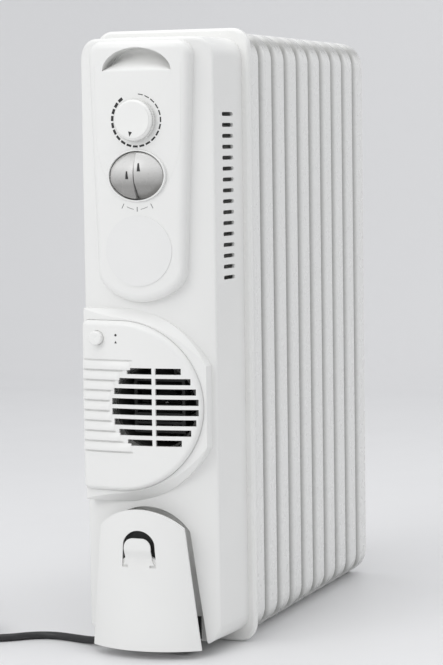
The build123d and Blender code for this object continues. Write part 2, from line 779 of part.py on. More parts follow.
def cord_tube(points):
    """A round tube along straight runs joined by tangent arcs."""
    radii = []
    for before, here, after in zip(points, points[1:], points[2:]):
        a, b = Vector(*here) - Vector(*before), Vector(*after) - Vector(*here)
        turn = math.radians(a.get_angle(b))
        radii.append(0.45 * min(a.length, b.length) / math.tan(turn / 2))
    path = FilletPolyline(*points, radius=radii)
    start = Vector(*points[0])
    ahead = Vector(*points[1]) - start
    tube = sweep(Plane(origin=start, z_dir=ahead) * Circle(cord_diameter / 2), path=path)
    expected = path.length * math.pi * cord_diameter**2 / 4
    print("cord tube length", round(path.length, 1), "volume ratio", round(tube.volume / expected, 4))
    print("cord radii", [round(r, 1) for r in radii])
    return tube


def coil_middle():
    """The coil's centre: the lead runs into its outer turn as a tangent."""
    a, b = Vector(*cord_route[-2]), Vector(*cord_route[-1])
    ahead = (b - a).normalized()
    return b.X + coil_outer_turn * ahead.Y, b.Y - coil_outer_turn * ahead.X


def rod_along(x, z, start, length, *radii):
    """A round piece along +Y, straight or tapered."""
    base = Plane(origin=(x, start, z), z_dir=(0, 1, 0)) * Pos(0, 0, length / 2)
    if len(radii) == 1:
        return base * Cylinder(radii[0], length)
    return base * Cone(radii[0], radii[1], length)


def make_cord():
    radius = cord_diameter / 2
    write(cord_tube(cord_route), "cord_lead")
    x, y = coil_middle()
    height = coil_layers * cord_diameter
    ring = Circle(coil_outer_turn + radius) - Circle(coil_inner_turn - radius)
    coil = extrude(Pos(x, y) * ring, amount=height)
    coil = fillet(coil.edges(), radius - 0.2)
    # the tie goes round the turns on the side away from the heater
    mean = (coil_outer_turn + coil_inner_turn) / 2
    width = coil_outer_turn - coil_inner_turn + cord_diameter
    strap = Box(width + 4 * tie_sheet, tie_width, height + 2 * tie_sheet)
    strap -= Box(width - tie_sheet, 2 * tie_width, height - 2 * tie_sheet)
    tie = Pos(x, y - mean, height / 2 + tie_sheet) * Rotation(0, 0, 90) * strap
    write(coil - tie, "cord_coil")
    write(tie, "cord_tie")
    # the far end leaves the top layer and runs straight into the plug
    plug_x, plug_z = x - coil_outer_turn, (coil_layers - 0.5) * cord_diameter
    start = y + 37
    write(rod_along(plug_x, plug_z, y, start - y, radius), "cord_tail")
    body = rod_along(plug_x, plug_z, start, relief_length, radius + 1.45, radius + 3.85)
    start += relief_length
    body += rod_along(plug_x, plug_z, start, shoulder_length, 10.5, plug_radius)
    start += shoulder_length
    body += rod_along(plug_x, plug_z, start, barrel_length, plug_radius)
    start += barrel_length - plug_pin_seat
    pins = Part()
    for side in (-pin_spacing / 2, pin_spacing / 2):
        pins += rod_along(plug_x + side, plug_z, start, plug_pin_length, plug_pin_radius)
    write(body - pins, "plug_body")
    write(pins, "plug_pins")


os.makedirs("parts", exist_ok=True)
make_end_plate()
make_fins()
make_elements()
make_housing()
make_panel()
make_thermostat()
make_switches()
make_cover()
make_fan()
make_store()
make_gland()
make_inner_parts()
make_cord()
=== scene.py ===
import math
import bpy
import numpy as np
from mathutils import Matrix, Vector


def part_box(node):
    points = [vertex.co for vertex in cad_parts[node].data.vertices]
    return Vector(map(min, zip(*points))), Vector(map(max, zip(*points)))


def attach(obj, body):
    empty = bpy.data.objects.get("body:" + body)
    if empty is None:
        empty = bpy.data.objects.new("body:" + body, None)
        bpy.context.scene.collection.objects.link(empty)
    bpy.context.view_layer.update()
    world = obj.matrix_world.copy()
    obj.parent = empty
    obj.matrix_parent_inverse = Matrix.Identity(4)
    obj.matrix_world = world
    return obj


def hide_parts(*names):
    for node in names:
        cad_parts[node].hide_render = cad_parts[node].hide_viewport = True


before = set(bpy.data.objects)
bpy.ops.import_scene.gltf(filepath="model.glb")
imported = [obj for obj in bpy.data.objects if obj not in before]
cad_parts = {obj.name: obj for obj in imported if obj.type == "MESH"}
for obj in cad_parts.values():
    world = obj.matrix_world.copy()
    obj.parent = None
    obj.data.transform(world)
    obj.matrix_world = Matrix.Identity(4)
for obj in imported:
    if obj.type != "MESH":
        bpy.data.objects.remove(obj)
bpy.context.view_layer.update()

mm = 0.001
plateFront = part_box("end_plate")[0][1]  # y of the end plate's front, which the sizes below start from
heater = "heater"


def place(points):
    # sizes in millimetres from the end plate's front, made metres in the frame
    spot = np.array(points, float) * mm
    spot[:, 1] += plateFront
    return spot


def makeMesh(name, points, faces, material, smoothAngle=35, inFrame=False):
    mesh = bpy.data.meshes.new(name)
    spot = np.array(points, float) if inFrame else place(points)
    mesh.from_pydata([tuple(p) for p in spot], [], faces)
    mesh.validate()
    mesh.polygons.foreach_set("use_smooth", [True] * len(mesh.polygons))
    mesh.set_sharp_from_angle(angle=math.radians(smoothAngle))
    mesh.materials.append(material)
    piece = bpy.data.objects.new(name, mesh)
    bpy.context.scene.collection.objects.link(piece)
    return piece


def settle(piece, smoothAngle=None):
    # the evaluated shape becomes the piece's own plain mesh, and its modifiers go
    graph = bpy.context.evaluated_depsgraph_get()
    mesh = bpy.data.meshes.new_from_object(piece.evaluated_get(graph), depsgraph=graph)
    piece.modifiers.clear()
    piece.data = mesh
    if smoothAngle is not None:
        mesh.polygons.foreach_set("use_smooth", [True] * len(mesh.polygons))
        mesh.set_sharp_from_angle(angle=math.radians(smoothAngle))
    return piece


def thicken(piece, thickness, smoothAngle=35):
    wall = piece.modifiers.new("wall", "SOLIDIFY")
    wall.thickness = thickness * mm
    wall.offset = -1
    return settle(piece, smoothAngle)


def standIn(piece, body, slotName, *nodes):
    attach(piece, body)
    if nodes:
        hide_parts(*nodes)


# ---- finishes ----

def nodeTree(name):
    material = bpy.data.materials.new(name)
    material.use_nodes = True
    tree = material.node_tree
    shader = tree.nodes["Principled BSDF"]
    return material, tree, shader


def objectNoise(tree, scale, detail=2.0):
    coords = tree.nodes.new("ShaderNodeTexCoord")
    noise = tree.nodes.new("ShaderNodeTexNoise")
    noise.inputs["Scale"].default_value = scale
    noise.inputs["Detail"].default_value = detail
    tree.links.new(coords.outputs["Object"], noise.inputs["Vector"])
    return noise.outputs["Fac"]


def between(tree, value, low, high):
    ramp = tree.nodes.new("ShaderNodeMapRange")
    ramp.inputs["From Min"].default_value = 0.3
    ramp.inputs["From Max"].default_value = 0.7
    ramp.inputs["To Min"].default_value = low
    ramp.inputs["To Max"].default_value = high
    tree.links.new(value, ramp.inputs["Value"])
    return ramp.outputs["Result"]


def twoTone(tree, value, first, second):
    ramp = tree.nodes.new("ShaderNodeValToRGB")
    ramp.color_ramp.elements[0].position = 0.3
    ramp.color_ramp.elements[1].position = 0.7
    ramp.color_ramp.elements[0].color = (*first, 1)
    ramp.color_ramp.elements[1].color = (*second, 1)
    tree.links.new(value, ramp.inputs["Fac"])
    return ramp.outputs["Color"]


def roughen(tree, shader, scale, depth, detail=2.0):
    bump = tree.nodes.new("ShaderNodeBump")
    bump.inputs["Distance"].default_value = depth * mm
    bump.inputs["Strength"].default_value = 1.0
    tree.links.new(objectNoise(tree, scale, detail), bump.inputs["Height"])
    tree.links.new(bump.outputs["Normal"], shader.inputs["Normal"])


def finish(name, first, second, gloss, patch=14, grain=1800, grainDepth=0.004, coat=0.0, metal=0.0):
    material, tree, shader = nodeTree(name)
    tree.links.new(twoTone(tree, objectNoise(tree, patch, 4), first, second), shader.inputs["Base Color"])
    tree.links.new(between(tree, objectNoise(tree, patch * 5), *gloss), shader.inputs["Roughness"])
    roughen(tree, shader, grain, grainDepth)
    shader.inputs["Metallic"].default_value = metal
    if coat:
        shader.inputs["Coat Weight"].default_value = coat
        shader.inputs["Coat Roughness"].default_value = 0.12
    return material


def lacquer(name, low, high, bottom, top):
    # satin lacquer whose tone is set darker towards the foot, in place of the shading that lights would give it
    material, tree, shader = nodeTree(name)
    coords = tree.nodes.new("ShaderNodeTexCoord")
    apart = tree.nodes.new("ShaderNodeSeparateXYZ")
    tree.links.new(coords.outputs["Object"], apart.inputs["Vector"])
    height = tree.nodes.new("ShaderNodeMapRange")
    height.inputs["From Min"].default_value = bottom
    height.inputs["From Max"].default_value = top
    tree.links.new(apart.outputs["Z"], height.inputs["Value"])
    tree.links.new(twoTone(tree, height.outputs["Result"], low, high), shader.inputs["Base Color"])
    tree.links.new(between(tree, objectNoise(tree, 90), 0.24, 0.32), shader.inputs["Roughness"])
    roughen(tree, shader, 3000, 0.002)
    shader.inputs["Coat Weight"].default_value = 0.3
    return material


def finEnamelPaintedShade(name, paintedFoldShade, outside):
    # gloss enamel whose folds between the fins get a darker tone, which is painted shade where little light reaches
    material, tree, shader = nodeTree(name)
    coords = tree.nodes.new("ShaderNodeTexCoord")
    apart = tree.nodes.new("ShaderNodeSeparateXYZ")
    tree.links.new(coords.outputs["Object"], apart.inputs["Vector"])

    def spread(value, low, high):
        ramp = tree.nodes.new("ShaderNodeMapRange")
        ramp.inputs["From Min"].default_value = low
        ramp.inputs["From Max"].default_value = high
        tree.links.new(value, ramp.inputs["Value"])
        return ramp.outputs["Result"]

    def join(operation, first, second=None):
        maker = tree.nodes.new("ShaderNodeMath")
        maker.operation = operation
        tree.links.new(first, maker.inputs[0])
        if second is not None:
            tree.links.new(second, maker.inputs[1])
        return maker.outputs[0]

    # mask that is 0 in the folds, where the painted shade goes, and 1 on the outer rims and ends
    side = spread(join("ABSOLUTE", apart.outputs["X"]), 0.069, 0.0736)
    ends = join("MAXIMUM", spread(apart.outputs["Z"], 0.589, 0.597), spread(apart.outputs["Z"], 0.011, 0.003))
    outer = join("MAXIMUM", side, ends)
    mix = tree.nodes.new("ShaderNodeValToRGB")
    mix.color_ramp.elements[0].color = (*paintedFoldShade, 1)
    mix.color_ramp.elements[1].color = (*outside, 1)
    tree.links.new(outer, mix.inputs["Fac"])
    tree.links.new(mix.outputs["Color"], shader.inputs["Base Color"])
    tree.links.new(between(tree, objectNoise(tree, 70), 0.24, 0.32), shader.inputs["Roughness"])
    roughen(tree, shader, 110, 0.012)
    shader.inputs["Coat Weight"].default_value = 0.25
    shader.inputs["Coat Roughness"].default_value = 0.12
    return material


finishes = {
    "plateEnamel": finish(
        "plateEnamel", (0.83, 0.83, 0.81), (0.85, 0.85, 0.835), (0.2, 0.28), grain=110, grainDepth=0.012, coat=0.25),
    # the fins' enamel: its darker first tone is painted shade in the folds between the fins
    "finEnamelPaintedShade": finEnamelPaintedShade("finEnamelPaintedShade", (0.43, 0.43, 0.415), (0.81, 0.81, 0.795)),
    "housingPlastic": finish("housingPlastic", (0.82, 0.82, 0.805), (0.835, 0.835, 0.82), (0.34, 0.42)),
    "panelPlastic": finish("panelPlastic", (0.81, 0.81, 0.795), (0.825, 0.825, 0.81), (0.3, 0.38)),
    "badgePlastic": finish("badgePlastic", (0.79, 0.79, 0.78), (0.8, 0.8, 0.79), (0.4, 0.5)),
    "knobPlastic": finish("knobPlastic", (0.83, 0.83, 0.81), (0.845, 0.845, 0.83), (0.26, 0.34)),
    "rockerLacquer": lacquer("rockerLacquer", (0.30, 0.295, 0.285), (0.70, 0.695, 0.68), 0.437, 0.482),
    "darkPlastic": finish("darkPlastic", (0.012, 0.012, 0.012), (0.02, 0.02, 0.02), (0.5, 0.6)),
    "ductPlastic": finish("ductPlastic", (0.05, 0.05, 0.048), (0.065, 0.065, 0.062), (0.5, 0.6)),
    "nylon": finish("nylon", (0.7, 0.69, 0.64), (0.74, 0.73, 0.68), (0.45, 0.55)),
    "ceramic": finish("ceramic", (0.6, 0.57, 0.52), (0.65, 0.62, 0.57), (0.55, 0.7)),
    "brass": finish("brass", (0.66, 0.5, 0.24), (0.74, 0.58, 0.3), (0.22, 0.34), metal=1.0),
    "sealFibre": finish("sealFibre", (0.2, 0.05, 0.03), (0.28, 0.08, 0.05), (0.7, 0.85)),
    "sheathSteel": finish("sheathSteel", (0.3, 0.28, 0.27), (0.42, 0.4, 0.38), (0.35, 0.5), metal=1.0),
    "zincSteel": finish("zincSteel", (0.55, 0.55, 0.54), (0.66, 0.66, 0.65), (0.25, 0.4), metal=1.0),
    "nickel": finish("nickel", (0.68, 0.66, 0.62), (0.74, 0.72, 0.68), (0.14, 0.22), metal=1.0),
    "cordSheath": finish(
        "cordSheath", (0.014, 0.014, 0.015), (0.022, 0.022, 0.024), (0.36, 0.5), patch=60, grain=2600, grainDepth=0.006),
    "plugRubber": finish(
        "plugRubber", (0.012, 0.012, 0.013), (0.02, 0.02, 0.021), (0.42, 0.55), patch=60, grain=2200, grainDepth=0.008),
    "blackInk": finish("blackInk", (0.012, 0.012, 0.012), (0.018, 0.018, 0.018), (0.4, 0.5)),
    "greyInk": finish("greyInk", (0.16, 0.16, 0.16), (0.2, 0.2, 0.2), (0.4, 0.5)),
}
cadFinish = {
    "end_plate": "plateEnamel", "front_collars": "finEnamelPaintedShade", "rear_header_caps": "finEnamelPaintedShade",
    "element_head": "brass", "element_gasket": "sealFibre", "filler_plug": "brass",
    "filler_gasket": "sealFibre", "heating_elements": "sheathSteel", "housing": "housingPlastic",
    "housing_screws": "zincSteel", "control_panel": "panelPlastic", "badge_disc": "badgePlastic",
    "thermostat": "darkPlastic", "thermostat_shaft": "zincSteel", "thermostat_knob": "knobPlastic",
    "switch_bezel": "panelPlastic", "rocker_axle": "zincSteel", "left_rocker": "rockerLacquer",
    "right_rocker": "rockerLacquer", "fan_cover": "housingPlastic", "fan_duct": "ductPlastic",
    "fan_motor": "zincSteel", "fan_spindle": "zincSteel", "fan_impeller": "darkPlastic",
    "fan_heater": "darkPlastic", "fan_button": "knobPlastic", "fan_switch": "darkPlastic",
    "cord_plate": "housingPlastic", "cord_hub": "housingPlastic", "cord_gland": "plugRubber",
    "terminal_block": "nylon", "terminal_screws": "brass", "thermal_cutout": "ceramic",
    "tip_switch_case": "darkPlastic", "tip_switch_pin": "zincSteel", "tip_switch_weight": "zincSteel",
    "cord_lead": "cordSheath", "cord_coil": "cordSheath", "cord_tie": "plugRubber",
    "cord_tail": "cordSheath", "plug_body": "plugRubber", "plug_pins": "nickel",
}
for node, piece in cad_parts.items():
    material = finishes[cadFinish.get(node, "finEnamelPaintedShade")]
    if not piece.material_slots:
        piece.data.materials.append(material)
    for materialSlot in piece.material_slots:
        materialSlot.material = material
print("finishes made:", len(finishes))

# ---- camera, lights and floor ----

cameraSettings = {
    "spot": (0.8533, -2.2647, 0.4934),
    "yaw": 20.75,  # degrees round from straight in front, towards the heater's right
    "pitch": 4.74,
    "roll": -0.796,
    "lens": 126.4,
}


def makeCamera():
    yaw, pitch, roll = [math.radians(cameraSettings[k]) for k in ("yaw", "pitch", "roll")]
    ahead = Vector((-math.sin(yaw) * math.cos(pitch), math.cos(yaw) * math.cos(pitch), -math.sin(pitch)))
    right = Vector((math.cos(yaw), math.sin(yaw), 0))
    up = right.cross(ahead)
    sideways = right * math.cos(roll) + up * math.sin(roll)
    upwards = up * math.cos(roll) - right * math.sin(roll)
    camera = bpy.data.objects.new("camera", bpy.data.cameras.new("camera"))
    camera.data.lens = cameraSettings["lens"]
    camera.data.sensor_width = 36
    camera.matrix_world = Matrix.LocRotScale(
        Vector(cameraSettings["spot"]), Matrix((sideways, upwards, -ahead)).transposed(), None)
    bpy.context.scene.collection.objects.link(camera)
    bpy.context.scene.camera = camera


studio = {
    "world": 0.70,
    "worldColour": (0.97, 0.98, 1.0),
    "lights": {  # place, where it points, size, watts
        "frontSoftbox": ((-0.9, -2.6, 1.9), (0, -0.1, 0.3), 1.8, 24),
        "topSoftbox": ((0.1, -0.3, 2.6), (0, 0, 0.3), 2.2, 22),
        "backSoftbox": ((1.6, 1.6, 1.8), (0, 0.2, 0.4), 1.4, 6),
    },
}


def makeStudio():
    world = bpy.data.worlds.new("studio")
    world.use_nodes = True
    world.node_tree.nodes["Background"].inputs["Color"].default_value = (*studio["worldColour"], 1)
    world.node_tree.nodes["Background"].inputs["Strength"].default_value = studio["world"]
    bpy.context.scene.world = world
    for name, (spot, aim, size, power) in studio["lights"].items():
        lamp = bpy.data.lights.new(name, "AREA")
        lamp.size = size
        lamp.energy = power
        holder = bpy.data.objects.new(name, lamp)
        holder.location = spot
        holder.rotation_euler = (Vector(aim) - Vector(spot)).to_track_quat("-Z", "Y").to_euler()
        bpy.context.scene.collection.objects.link(holder)
    bpy.context.scene.view_settings.view_transform = "Standard"


sweepSettings = {"front": -3.0, "back": 3.2, "halfWidth": 6.0, "bend": 1.2, "top": 4.0, "steps": 24}


def makeFloor():
    # a seamless sweep: flat floor that bends up into the backdrop
    profile = [(sweepSettings["front"], 0.0)]
    bend, back = sweepSettings["bend"], sweepSettings["back"]
    for step in range(sweepSettings["steps"] + 1):
        turn = math.pi / 2 * step / sweepSettings["steps"]
        profile.append((back - bend + bend * math.sin(turn), bend - bend * math.cos(turn)))
    profile.append((back, sweepSettings["top"]))
    points, faces = [], []
    for y, z in profile:
        points += [(-sweepSettings["halfWidth"], y, z), (sweepSettings["halfWidth"], y, z)]
    for i in range(len(profile) - 1):
        faces.append((2 * i, 2 * i + 1, 2 * i + 3, 2 * i + 2))
    paper = finish(
        "sweepPaper", (0.80, 0.80, 0.805), (0.815, 0.815, 0.82), (0.35, 0.45), patch=1.5, grain=300, grainDepth=0.01)
    floor = makeMesh("floorSweep", points, faces, paper, 60, inFrame=True)


makeCamera()
makeStudio()
makeFloor()
print("camera, lights and floor made")

# ---- the mains lead ----

lead = {
    "diameter": 7.5,
    "length": 1500.0,
    "route": [  # from the gland's mouth over the floor, in millimetres
        (-2, -207, 15), (-22, -207, 15), (-44, -205, 9), (-68, -198, 4.3), (-94, -188.5, 3.75),
        (-112, -184.2, 3.75), (-128, -185.8, 3.75), (-141.5, -193.0, 3.75), (-153, -204.5, 3.75),
        (-170, -215.0, 3.75), (-191, -224.8, 3.75), (-211.3, -234.6, 3.75),
    ],
    "outerTurn": 41.25,
    "turnPoints": 24,
    "crossAngle": 60.0,  # where the turns change ring or layer
    "crossWidth": 50.0,
    "tail": 37.0,
}


def coilPoints():
    # outer and inner turns of three layers, wound clockwise seen from above
    wire = lead["diameter"]
    (ax, ay, _), (bx, by, _) = lead["route"][-2:]
    run = math.hypot(bx - ax, by - ay)
    ahead = ((bx - ax) / run, (by - ay) / run)
    outer = lead["outerTurn"]
    middle = (bx + outer * ahead[1], by - outer * ahead[0])
    start = math.degrees(math.atan2(by - middle[1], bx - middle[0]))
    stages = [(outer, 0), (outer - wire, 0), (outer - wire, 1), (outer, 1), (outer - wire, 2), (outer, 2)]
    end = -180.0 - 360.0 * 5
    count = round((start - end) / 360 * lead["turnPoints"])
    points = []
    for number in range(1, count + 1):
        angle = start + (end - start) * number / count
        level = (lead["crossAngle"] - 360 - angle + lead["crossWidth"] / 2) / 360
        whole = min(max(math.floor(level), -1), 4)
        part = min(max((level - whole) * 360 / lead["crossWidth"], 0), 1)
        part = part * part * (3 - 2 * part)
        first, second = stages[whole], stages[whole + 1]
        if whole < 0:
            first, second, part = stages[0], stages[0], 0
        radius = first[0] + (second[0] - first[0]) * part
        layer = first[1] + (second[1] - first[1]) * part
        turn = math.radians(angle)
        x, y = middle[0] + radius * math.cos(turn), middle[1] + radius * math.sin(turn)
        points.append((x, y, wire * (layer + 0.5)))
    last = points[-1]
    for share in (0.25, 0.5, 0.75, 1.0):
        points.append((middle[0] - outer, middle[1] + lead["tail"] * share, last[2]))
    return points


def makeLead():
    points = [tuple(v * mm for v in p) for p in lead["route"] + coilPoints()]
    curve = bpy.data.curves.new("mainsLead", "CURVE")
    curve.dimensions = "3D"
    spline = curve.splines.new("NURBS")
    spline.points.add(len(points) - 1)
    for point, spot in zip(spline.points, points):
        point.co = (*spot, 1)
    spline.order_u = 3
    spline.use_endpoint_u = True
    spline.resolution_u = 6
    curve.bevel_depth = lead["diameter"] / 2 * mm
    curve.bevel_resolution = 5
    curve.use_fill_caps = True
    curve.materials.append(finishes["cordSheath"])
    cord = bpy.data.objects.new("mainsLead", curve)
    bpy.context.scene.collection.objects.link(cord)
    standIn(cord, heater, "cord_black", "cord_lead", "cord_coil", "cord_tail")
    return cord, points


mainsLead, leadPoints = makeLead()


def lathe(name, profile, material, start, axis, segments=64, smoothAngle=35):
    # a turned piece: profile is (distance along the axis, radius) from a start point, in metres
    along = Vector(axis).normalized()
    across = along.orthogonal().normalized()
    other = along.cross(across)
    points, faces = [], []
    for distance, radius in profile:
        for k in range(segments):
            turn = 2 * math.pi * k / segments
            spoke = across * math.cos(turn) + other * math.sin(turn)
            points.append(Vector(start) + along * distance + spoke * radius)
    rings = len(profile)
    for i in range(rings - 1):
        for k in range(segments):
            n = (k + 1) % segments
            faces.append((i * segments + k, i * segments + n, (i + 1) * segments + n, (i + 1) * segments + k))
    faces.append(tuple(reversed(range(segments))))
    faces.append(tuple((rings - 1) * segments + k for k in range(segments)))
    return makeMesh(name, [tuple(p) for p in points], faces, material, smoothAngle, inFrame=True)


plug = {
    "relief": 24.0, "reliefStart": 5.2, "reliefGrowth": 2.4, "ribs": 5, "ribDepth": 0.9, "neck": 8.2,
    "shoulder": 18.0, "barrel": 28.0, "radius": 18.2, "grooves": 4, "grooveDepth": 0.5,
}


def makePlug():
    low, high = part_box("plug_body")
    middle = ((low[0] + high[0]) / 2, low[1], (low[2] + high[2]) / 2)
    profile = []
    steps = plug["ribs"] * 8
    for k in range(steps + 1):
        share = k / steps
        wave = plug["ribDepth"] * (0.5 - 0.5 * math.cos(2 * math.pi * share * plug["ribs"]))
        profile.append((plug["relief"] * share, plug["reliefStart"] + plug["reliefGrowth"] * share - wave * (1 - share * 0.4)))
    for k in range(9):
        share = k / 8
        swell = (plug["radius"] - plug["neck"]) * math.sin(share * math.pi / 2)
        profile.append((plug["relief"] + 0.4 + plug["shoulder"] * share, plug["neck"] + swell))
    base = plug["relief"] + plug["shoulder"]
    steps = plug["grooves"] * 8
    for k in range(1, steps + 1):
        share = k / steps
        wave = plug["grooveDepth"] * (0.5 - 0.5 * math.cos(2 * math.pi * share * plug["grooves"]))
        profile.append((base + 2 + (plug["barrel"] - 4.5) * share, plug["radius"] - wave))
    end = base + plug["barrel"]
    for before, inward in ((1.2, 0.3), (0.3, 1.1), (0, 2.2)):
        profile.append((end - before, plug["radius"] - inward))
    turned = [(d * mm, r * mm) for d, r in profile]
    piece = lathe("plugBody", turned, finishes["plugRubber"], middle, (0, 1, 0))
    standIn(piece, heater, "plug_black", "plug_body")
    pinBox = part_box("plug_pins")
    radius = (pinBox[1][2] - pinBox[0][2]) / 2
    length = pinBox[1][1] - high[1]
    pins = []
    for side, x in (("left", pinBox[0][0] + radius), ("right", pinBox[1][0] - radius)):
        shape = [(-2 * mm, radius), (length - 2.4 * mm, radius)]
        shape += [(length - 0.9 * mm, radius * 0.8), (length, radius * 0.35)]
        pin = lathe(side + "PlugPin", shape, finishes["nickel"], (x, high[1], middle[2]), (0, 1, 0), 32)
        pins.append(pin)
    standIn(pins[0], heater, "pin_nickel", "plug_pins")
    standIn(pins[1], heater, "pin_nickel")
    return piece, pins


plugBody, plugPins = makePlug()


def roundedLoop(halfX, halfZ, corner, perCorner=6):
    loop = []
    for k, (sx, sz) in enumerate(((1, -1), (1, 1), (-1, 1), (-1, -1))):
        for step in range(perCorner + 1):
            turn = math.pi / 2 * (k - 1 + step / perCorner)
            x, z = sx * (halfX - corner), sz * (halfZ - corner)
            loop.append((x + corner * math.cos(turn), z + corner * math.sin(turn)))
    return loop


def makeTieBand():
    low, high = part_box("cord_tie")
    centre = [(low[i] + high[i]) / 2 for i in range(3)]
    across = 1 if high[1] - low[1] > high[0] - low[0] else 0  # the band's section lies along this axis
    half = (high[across] - low[across]) / 2
    width = (high[1 - across] - low[1 - across]) / 2
    tall = (high[2] - low[2]) / 2
    points, faces = [], []
    rings = [(-width, 0.5), (-width * 0.9, 0.1), (-width * 0.5, 0.0)]
    rings += [(width * 0.5, 0.0), (width * 0.9, 0.1), (width, 0.5)]
    rings += [(width * 0.95, 1.0), (-width * 0.95, 1.0)]
    loops = []
    for along, inset in rings:
        loop = roundedLoop(half - inset * mm, tall - inset * mm, 3.6 * mm - inset * mm * 0.5)
        loops.append(len(loop))
        for a, z in loop:
            spot = [0, 0, centre[2] + z]
            spot[across] = centre[across] + a
            spot[1 - across] = centre[1 - across] + along
            points.append(tuple(spot))
    size = loops[0]
    for i in range(len(rings)):
        n = (i + 1) % len(rings)
        for k in range(size):
            m = (k + 1) % size
            faces.append((i * size + k, n * size + k, n * size + m, i * size + m))
    band = makeMesh("coilTie", points, faces, finishes["plugRubber"], 40, inFrame=True)
    band.data.flip_normals()
    standIn(band, heater, "tie_black", "cord_tie")
    return band


coilTie = makeTieBand()
print("mains lead, plug and tie made")

# ---- faces that small pieces lie on ----

faces3d = {"panel": (91.0, 230.0), "cover": (94.0, 260.0), "cordPlate": (103.0, 92.0)}


def surfaceY(which, x):
    nose, bow = faces3d[which]
    return bow - math.sqrt(bow * bow - x * x) - nose


def decal(name, outlines, height, material, lift=0.12, depth=0.5):
    # thin raised marks: each outline is convex, counter-clockwise seen from the front
    points, faces = [], []
    for outline in outlines:
        base, size = len(points), len(outline)
        for x, z in outline:
            points.append((x, height(x, z) - lift, z))
        for x, z in outline:
            points.append((x, height(x, z) + depth, z))
        faces.append(tuple(base + k for k in range(size)))
        faces.append(tuple(base + size + k for k in reversed(range(size))))
        for k in range(size):
            n = (k + 1) % size
            faces.append((base + n, base + k, base + size + k, base + size + n))
    return makeMesh(name, points, faces, material, 30)


# ---- dial scale: dashes that grow round the knob, made in Geometry Nodes ----

dialScale = {
    "height": 512.0, "radius": 24.6, "count": 21, "first": 12.0, "last": 321.0,
    "long": 4.9, "thin": 0.8, "thick": 2.9, "proud": 0.12,
}


def node(tree, kind, **settings):
    made = tree.nodes.new(kind)
    for key, value in settings.items():
        setattr(made, key, value)
    return made


def maths(tree, operation, first, second=None):
    made = node(tree, "ShaderNodeMath", operation=operation)
    for socket, value in zip(made.inputs, (first, second)):
        if value is None:
            continue
        if isinstance(value, (int, float)):
            socket.default_value = value
        else:
            tree.links.new(value, socket)
    return made.outputs[0]


